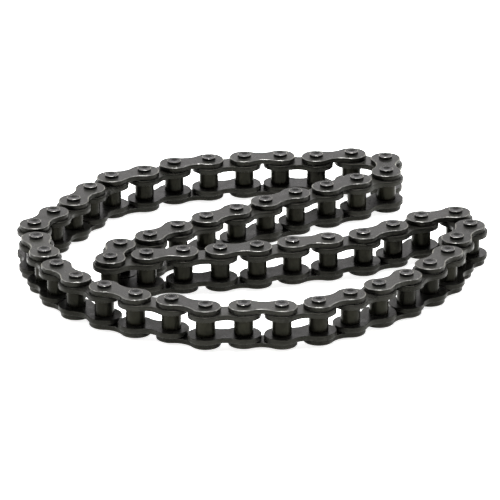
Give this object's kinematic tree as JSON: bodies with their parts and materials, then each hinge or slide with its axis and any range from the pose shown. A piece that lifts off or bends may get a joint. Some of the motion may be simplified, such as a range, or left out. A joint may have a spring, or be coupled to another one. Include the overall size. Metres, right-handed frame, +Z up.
{
  "type": "roller chain",
  "caption": "Endless riveted drive chain of small pitch, rollerless bush type, lying flat in a loose coil on its pin ends; every link turns on its pins.",
  "frame": {"origin": "on the surface that the chain lies on, under the middle of the coil's bounding box", "axes": "+Z up, along the pins; +X along the coil's longer side, towards its right hairpin; +Y towards the far strand"},
  "size_m": [0.0806, 0.0756, 0.0078],
  "materials": {
    "outer_link": "black oxide, lightly oiled",
    "inner_link": "black oxide, lightly oiled",
    "outer_plate": "black oxide, lightly oiled",
    "inner_plate": "black oxide, lightly oiled",
    "pin": "black oxide, lightly oiled",
    "bush": "black oxide, lightly oiled"
  },
  "bodies": {
    "outer_link_01": {"outer_link_01": "outer_link"},
    "inner_link_02": {"inner_link_02": "inner_link"},
    "outer_link_03": {"outer_link_03": "outer_link"},
    "inner_link_04": {"inner_link_04": "inner_link"},
    "outer_link_05": {"outer_link_05": "outer_link"},
    "inner_link_06": {"inner_link_06": "inner_link"},
    "outer_link_07": {"outer_link_07": "outer_link"},
    "inner_link_08": {"inner_link_08": "inner_link"},
    "outer_link_09": {"outer_link_09": "outer_link"},
    "inner_link_10": {"inner_link_10": "inner_link"},
    "outer_link_11": {"outer_link_11": "outer_link"},
    "inner_link_12": {"inner_link_12": "inner_link"},
    "outer_link_13": {"outer_link_13": "outer_link"},
    "last_inner_link": {"last_inner_link_lower_plate": "inner_plate", "last_inner_link_upper_plate": "inner_plate", "last_inner_link_first_bush": "bush", "last_inner_link_second_bush": "bush"},
    "closing_link": {"closing_link_lower_plate": "outer_plate", "closing_link_upper_plate": "outer_plate", "closing_link_pin": "pin", "closing_link_opened_pin_ends": "pin"},
    "inner_link_16": {"inner_link_16": "inner_link"},
    "outer_link_17": {"outer_link_17": "outer_link"},
    "inner_link_18": {"inner_link_18": "inner_link"},
    "outer_link_19": {"outer_link_19": "outer_link"},
    "inner_link_20": {"inner_link_20": "inner_link"},
    "outer_link_21": {"outer_link_21": "outer_link"},
    "inner_link_22": {"inner_link_22": "inner_link"},
    "outer_link_23": {"outer_link_23": "outer_link"},
    "inner_link_24": {"inner_link_24": "inner_link"},
    "outer_link_25": {"outer_link_25": "outer_link"},
    "inner_link_26": {"inner_link_26": "inner_link"},
    "outer_link_27": {"outer_link_27": "outer_link"},
    "inner_link_28": {"inner_link_28": "inner_link"},
    "outer_link_29": {"outer_link_29": "outer_link"},
    "inner_link_30": {"inner_link_30": "inner_link"},
    "outer_link_31": {"outer_link_31": "outer_link"},
    "inner_link_32": {"inner_link_32": "inner_link"},
    "outer_link_33": {"outer_link_33": "outer_link"},
    "inner_link_34": {"inner_link_34": "inner_link"},
    "outer_link_35": {"outer_link_35": "outer_link"},
    "inner_link_36": {"inner_link_36": "inner_link"},
    "outer_link_37": {"outer_link_37": "outer_link"},
    "inner_link_38": {"inner_link_38": "inner_link"},
    "outer_link_39": {"outer_link_39": "outer_link"},
    "inner_link_40": {"inner_link_40": "inner_link"},
    "middle_link": {"middle_link_lower_plate": "outer_plate", "middle_link_upper_plate": "outer_plate", "middle_link_pins": "pin"},
    "inner_link_42": {"inner_link_42": "inner_link"},
    "outer_link_43": {"outer_link_43": "outer_link"},
    "inner_link_44": {"inner_link_44": "inner_link"},
    "outer_link_45": {"outer_link_45": "outer_link"},
    "inner_link_46": {"inner_link_46": "inner_link"},
    "outer_link_47": {"outer_link_47": "outer_link"},
    "inner_link_48": {"inner_link_48": "inner_link"},
    "outer_link_49": {"outer_link_49": "outer_link"},
    "inner_link_50": {"inner_link_50": "inner_link"},
    "outer_link_51": {"outer_link_51": "outer_link"},
    "inner_link_52": {"inner_link_52": "inner_link"}
  },
  "joints": [
    {"name": "pivot_02", "type": "hinge", "parent": "outer_link_01", "child": "inner_link_02", "pos_m": [0.02358, 0.03255, 0.00392], "axis": [0, 0, -1], "range_deg": [0, 69.62]},
    {"name": "pivot_10", "type": "hinge", "parent": "outer_link_09", "child": "inner_link_10", "pos_m": [-0.02442, 0.02359, 0.00392], "axis": [0, 0, -1], "range_deg": [0, 28.57]},
    {"name": "pivot_18", "type": "hinge", "parent": "inner_link_18", "child": "outer_link_17", "pos_m": [-0.02966, -0.02208, 0.00392], "axis": [0, 0, 1], "range_deg": [0, 17.48]},
    {"name": "pivot_22", "type": "hinge", "parent": "inner_link_22", "child": "outer_link_21", "pos_m": [-0.00793, -0.03476, 0.00392], "axis": [0, 0, 1], "range_deg": [0, 30.47]},
    {"name": "pivot_30", "type": "hinge", "parent": "inner_link_30", "child": "outer_link_29", "pos_m": [0.03306, -0.0108, 0.00392], "axis": [0, 0, 1], "range_deg": [0, 14.48]},
    {"name": "pivot_33", "type": "hinge", "parent": "outer_link_33", "child": "inner_link_32", "pos_m": [0.03501, 0.00706, 0.00392], "axis": [0, 0, 1], "range_deg": [0, 88.5]},
    {"name": "pivot_35", "type": "hinge", "parent": "outer_link_35", "child": "inner_link_34", "pos_m": [0.02411, 0.00091, 0.00392], "axis": [0, 0, 1], "range_deg": [0, 30]},
    {"name": "pivot_37", "type": "hinge", "parent": "outer_link_37", "child": "inner_link_36", "pos_m": [0.01292, -0.00477, 0.00392], "axis": [0, 0, 1], "range_deg": [0, 30]},
    {"name": "pivot_39", "type": "hinge", "parent": "outer_link_39", "child": "inner_link_38", "pos_m": [0.00077, -0.00845, 0.00392], "axis": [0, 0, 1], "range_deg": [0, 30]},
    {"name": "pivot_41", "type": "hinge", "parent": "middle_link", "child": "inner_link_40", "pos_m": [-0.01176, -0.01053, 0.00392], "axis": [0, 0, 1], "range_deg": [0, 30]},
    {"name": "pivot_44", "type": "hinge", "parent": "outer_link_43", "child": "inner_link_44", "pos_m": [-0.02242, -0.00754, 0.00392], "axis": [0, 0, -1], "range_deg": [0, 60]},
    {"name": "pivot_46", "type": "hinge", "parent": "outer_link_45", "child": "inner_link_46", "pos_m": [-0.01275, 0.00068, 0.00392], "axis": [0, 0, -1], "range_deg": [0, 30]},
    {"name": "pivot_48", "type": "hinge", "parent": "outer_link_47", "child": "inner_link_48", "pos_m": [-0.00266, 0.00838, 0.00392], "axis": [0, 0, -1], "range_deg": [0, 30]},
    {"name": "pivot_50", "type": "hinge", "parent": "outer_link_49", "child": "inner_link_50", "pos_m": [0.00756, 0.0159, 0.00392], "axis": [0, 0, -1], "range_deg": [0, 30]},
    {"name": "pivot_52", "type": "hinge", "parent": "outer_link_51", "child": "inner_link_52", "pos_m": [0.01835, 0.0226, 0.00392], "axis": [0, 0, -1], "range_deg": [0, 30]},
    {"name": "pivot_01", "type": "hinge", "parent": "inner_link_52", "child": "outer_link_01", "pos_m": [0.02358, 0.0262, 0.00392], "axis": [0, 0, -1], "range_deg": [-65.57, 176.51]},
    {"name": "pivot_03", "type": "hinge", "parent": "inner_link_02", "child": "outer_link_03", "pos_m": [0.01763, 0.03476, 0.00392], "axis": [0, 0, -1], "range_deg": [-88.42, 153.66]},
    {"name": "pivot_04", "type": "hinge", "parent": "outer_link_03", "child": "inner_link_04", "pos_m": [0.01142, 0.03341, 0.00392], "axis": [0, 0, -1], "range_deg": [-135.43, 106.65]},
    {"name": "pivot_05", "type": "hinge", "parent": "inner_link_04", "child": "outer_link_05", "pos_m": [0.00508, 0.03365, 0.00392], "axis": [0, 0, -1], "range_deg": [-114.43, 127.65]},
    {"name": "pivot_06", "type": "hinge", "parent": "outer_link_05", "child": "inner_link_06", "pos_m": [-0.00125, 0.03316, 0.00392], "axis": [0, 0, -1], "range_deg": [-114.44, 127.64]},
    {"name": "pivot_07", "type": "hinge", "parent": "inner_link_06", "child": "outer_link_07", "pos_m": [-0.00748, 0.03194, 0.00392], "axis": [0, 0, -1], "range_deg": [-115.44, 126.64]},
    {"name": "pivot_08", "type": "hinge", "parent": "outer_link_07", "child": "inner_link_08", "pos_m": [-0.01357, 0.03012, 0.00392], "axis": [0, 0, -1], "range_deg": [-102.45, 139.63]},
    {"name": "pivot_09", "type": "hinge", "parent": "inner_link_08", "child": "outer_link_09", "pos_m": [-0.01875, 0.02645, 0.00392], "axis": [0, 0, -1], "range_deg": [-129.46, 112.62]},
    {"name": "pivot_11", "type": "hinge", "parent": "inner_link_10", "child": "outer_link_11", "pos_m": [-0.02803, 0.01836, 0.00392], "axis": [0, 0, -1], "range_deg": [-112.48, 129.59]},
    {"name": "pivot_12", "type": "hinge", "parent": "outer_link_11", "child": "inner_link_12", "pos_m": [-0.03082, 0.01266, 0.00392], "axis": [0, 0, -1], "range_deg": [-126.5, 115.58]},
    {"name": "pivot_13", "type": "hinge", "parent": "inner_link_12", "child": "outer_link_13", "pos_m": [-0.03413, 0.00724, 0.00392], "axis": [0, 0, -1], "range_deg": [-119.51, 122.57]},
    {"name": "pivot_14", "type": "hinge", "parent": "outer_link_13", "child": "last_inner_link", "pos_m": [-0.03731, 0.00174, 0.00392], "axis": [0, 0, -1], "range_deg": [-86.52, 155.56]},
    {"name": "pivot_16", "type": "hinge", "parent": "inner_link_16", "child": "closing_link", "pos_m": [-0.03526, -0.01075, 0.00392], "axis": [0, 0, 1], "range_deg": [-114.54, 127.54]},
    {"name": "pivot_17", "type": "hinge", "parent": "outer_link_17", "child": "inner_link_16", "pos_m": [-0.03303, -0.01669, 0.00392], "axis": [0, 0, 1], "range_deg": [-109.55, 132.53]},
    {"name": "pivot_19", "type": "hinge", "parent": "outer_link_19", "child": "inner_link_18", "pos_m": [-0.02483, -0.0262, 0.00392], "axis": [0, 0, 1], "range_deg": [-114.56, 127.52]},
    {"name": "pivot_20", "type": "hinge", "parent": "inner_link_20", "child": "outer_link_19", "pos_m": [-0.01957, -0.02975, 0.00392], "axis": [0, 0, 1], "range_deg": [-106.57, 135.51]},
    {"name": "pivot_21", "type": "hinge", "parent": "outer_link_21", "child": "inner_link_20", "pos_m": [-0.01359, -0.03187, 0.00392], "axis": [0, 0, 1], "range_deg": [-128.57, 113.51]},
    {"name": "pivot_23", "type": "hinge", "parent": "outer_link_23", "child": "inner_link_22", "pos_m": [-0.00159, -0.03438, 0.00392], "axis": [0, 0, 1], "range_deg": [-126.57, 115.51]},
    {"name": "pivot_24", "type": "hinge", "parent": "inner_link_24", "child": "outer_link_23", "pos_m": [0.00475, -0.03462, 0.00392], "axis": [0, 0, 1], "range_deg": [-103.57, 138.51]},
    {"name": "pivot_25", "type": "hinge", "parent": "outer_link_25", "child": "inner_link_24", "pos_m": [0.01088, -0.03294, 0.00392], "axis": [0, 0, 1], "range_deg": [-103.57, 138.51]},
    {"name": "pivot_26", "type": "hinge", "parent": "inner_link_26", "child": "outer_link_25", "pos_m": [0.01621, -0.0295, 0.00392], "axis": [0, 0, 1], "range_deg": [-113.57, 128.51]},
    {"name": "pivot_27", "type": "hinge", "parent": "outer_link_27", "child": "inner_link_26", "pos_m": [0.02106, -0.02539, 0.00392], "axis": [0, 0, 1], "range_deg": [-119.57, 122.51]},
    {"name": "pivot_28", "type": "hinge", "parent": "inner_link_28", "child": "outer_link_27", "pos_m": [0.0258, -0.02116, 0.00392], "axis": [0, 0, 1], "range_deg": [-112.56, 129.51]},
    {"name": "pivot_29", "type": "hinge", "parent": "outer_link_29", "child": "inner_link_28", "pos_m": [0.02986, -0.01628, 0.00392], "axis": [0, 0, 1], "range_deg": [-111.56, 130.52]},
    {"name": "pivot_31", "type": "hinge", "parent": "outer_link_31", "child": "inner_link_30", "pos_m": [0.03479, -0.00469, 0.00392], "axis": [0, 0, 1], "range_deg": [-128.55, 113.53]},
    {"name": "pivot_32", "type": "hinge", "parent": "inner_link_32", "child": "outer_link_31", "pos_m": [0.03731, 0.00114, 0.00392], "axis": [0, 0, 1], "range_deg": [-76.55, 165.53]},
    {"name": "pivot_34", "type": "hinge", "parent": "inner_link_34", "child": "outer_link_33", "pos_m": [0.02903, 0.00492, 0.00392], "axis": [0, 0, 1], "range_deg": [-101.54, 140.54]},
    {"name": "pivot_36", "type": "hinge", "parent": "inner_link_36", "child": "outer_link_35", "pos_m": [0.01895, -0.00279, 0.00392], "axis": [0, 0, 1], "range_deg": [-138.55, 103.53]},
    {"name": "pivot_38", "type": "hinge", "parent": "inner_link_38", "child": "outer_link_37", "pos_m": [0.0068, -0.00648, 0.00392], "axis": [0, 0, 1], "range_deg": [-118.54, 123.53]},
    {"name": "pivot_40", "type": "hinge", "parent": "inner_link_40", "child": "outer_link_39", "pos_m": [-0.00547, -0.00963, 0.00392], "axis": [0, 0, 1], "range_deg": [-123.54, 118.54]},
    {"name": "pivot_42", "type": "hinge", "parent": "middle_link", "child": "inner_link_42", "pos_m": [-0.01796, -0.01191, 0.00392], "axis": [0, 0, -1], "range_deg": [-117.54, 124.54]},
    {"name": "pivot_43", "type": "hinge", "parent": "inner_link_42", "child": "outer_link_43", "pos_m": [-0.02406, -0.01368, 0.00392], "axis": [0, 0, -1], "range_deg": [-242.08, 0]},
    {"name": "pivot_45", "type": "hinge", "parent": "inner_link_44", "child": "outer_link_45", "pos_m": [-0.01746, -0.00358, 0.00392], "axis": [0, 0, -1], "range_deg": [-117.53, 124.54]},
    {"name": "pivot_47", "type": "hinge", "parent": "inner_link_46", "child": "outer_link_47", "pos_m": [-0.00786, 0.00473, 0.00392], "axis": [0, 0, -1], "range_deg": [-125.54, 116.54]},
    {"name": "pivot_49", "type": "hinge", "parent": "inner_link_48", "child": "outer_link_49", "pos_m": [0.00237, 0.01225, 0.00392], "axis": [0, 0, -1], "range_deg": [-123.55, 118.53]},
    {"name": "pivot_51", "type": "hinge", "parent": "inner_link_50", "child": "outer_link_51", "pos_m": [0.01303, 0.01914, 0.00392], "axis": [0, 0, -1], "range_deg": [-118.56, 123.52]}
  ],
  "couplings": [
    {"joint": "pivot_01", "follows": "pivot_02", "ratio": 0.79672},
    {"joint": "pivot_03", "follows": "pivot_02", "ratio": 0.46856},
    {"joint": "pivot_04", "follows": "pivot_02", "ratio": -0.20666},
    {"joint": "pivot_05", "follows": "pivot_10", "ratio": 0.23134},
    {"joint": "pivot_06", "follows": "pivot_10", "ratio": 0.23115},
    {"joint": "pivot_07", "follows": "pivot_10", "ratio": 0.19591},
    {"joint": "pivot_08", "follows": "pivot_10", "ratio": 0.65068},
    {"joint": "pivot_09", "follows": "pivot_10", "ratio": -0.29483},
    {"joint": "pivot_11", "follows": "pivot_10", "ratio": 0.29946},
    {"joint": "pivot_12", "follows": "pivot_10", "ratio": -0.19105},
    {"joint": "pivot_13", "follows": "pivot_10", "ratio": 0.053568},
    {"joint": "pivot_14", "follows": "pivot_10", "ratio": 1.2083},
    {"joint": "pivot_16", "follows": "pivot_18", "ratio": 0.37172},
    {"joint": "pivot_17", "follows": "pivot_18", "ratio": 0.65722},
    {"joint": "pivot_19", "follows": "pivot_18", "ratio": 0.37049},
    {"joint": "pivot_20", "follows": "pivot_18", "ratio": 0.82785},
    {"joint": "pivot_21", "follows": "pivot_22", "ratio": -0.24715},
    {"joint": "pivot_23", "follows": "pivot_22", "ratio": -0.18161},
    {"joint": "pivot_24", "follows": "pivot_22", "ratio": 0.57328},
    {"joint": "pivot_25", "follows": "pivot_22", "ratio": 0.57332},
    {"joint": "pivot_26", "follows": "pivot_22", "ratio": 0.24518},
    {"joint": "pivot_27", "follows": "pivot_30", "ratio": 0.10169},
    {"joint": "pivot_28", "follows": "pivot_30", "ratio": 0.58522},
    {"joint": "pivot_29", "follows": "pivot_30", "ratio": 0.6545},
    {"joint": "pivot_31", "follows": "pivot_30", "ratio": -0.51869},
    {"joint": "pivot_32", "follows": "pivot_33", "ratio": 0.50275},
    {"joint": "pivot_34", "follows": "pivot_33", "ratio": 0.22031},
    {"joint": "pivot_36", "follows": "pivot_35", "ratio": -1},
    {"joint": "pivot_38", "follows": "pivot_37", "ratio": -1},
    {"joint": "pivot_40", "follows": "pivot_39", "ratio": -1},
    {"joint": "pivot_42", "follows": "pivot_41", "ratio": -1},
    {"joint": "pivot_45", "follows": "pivot_46", "ratio": -1},
    {"joint": "pivot_47", "follows": "pivot_48", "ratio": -1},
    {"joint": "pivot_49", "follows": "pivot_50", "ratio": -1},
    {"joint": "pivot_51", "follows": "pivot_52", "ratio": -1},
    {"joint": "pivot_43", "follows": "pivot_44", "ratio": -1}
  ]
}
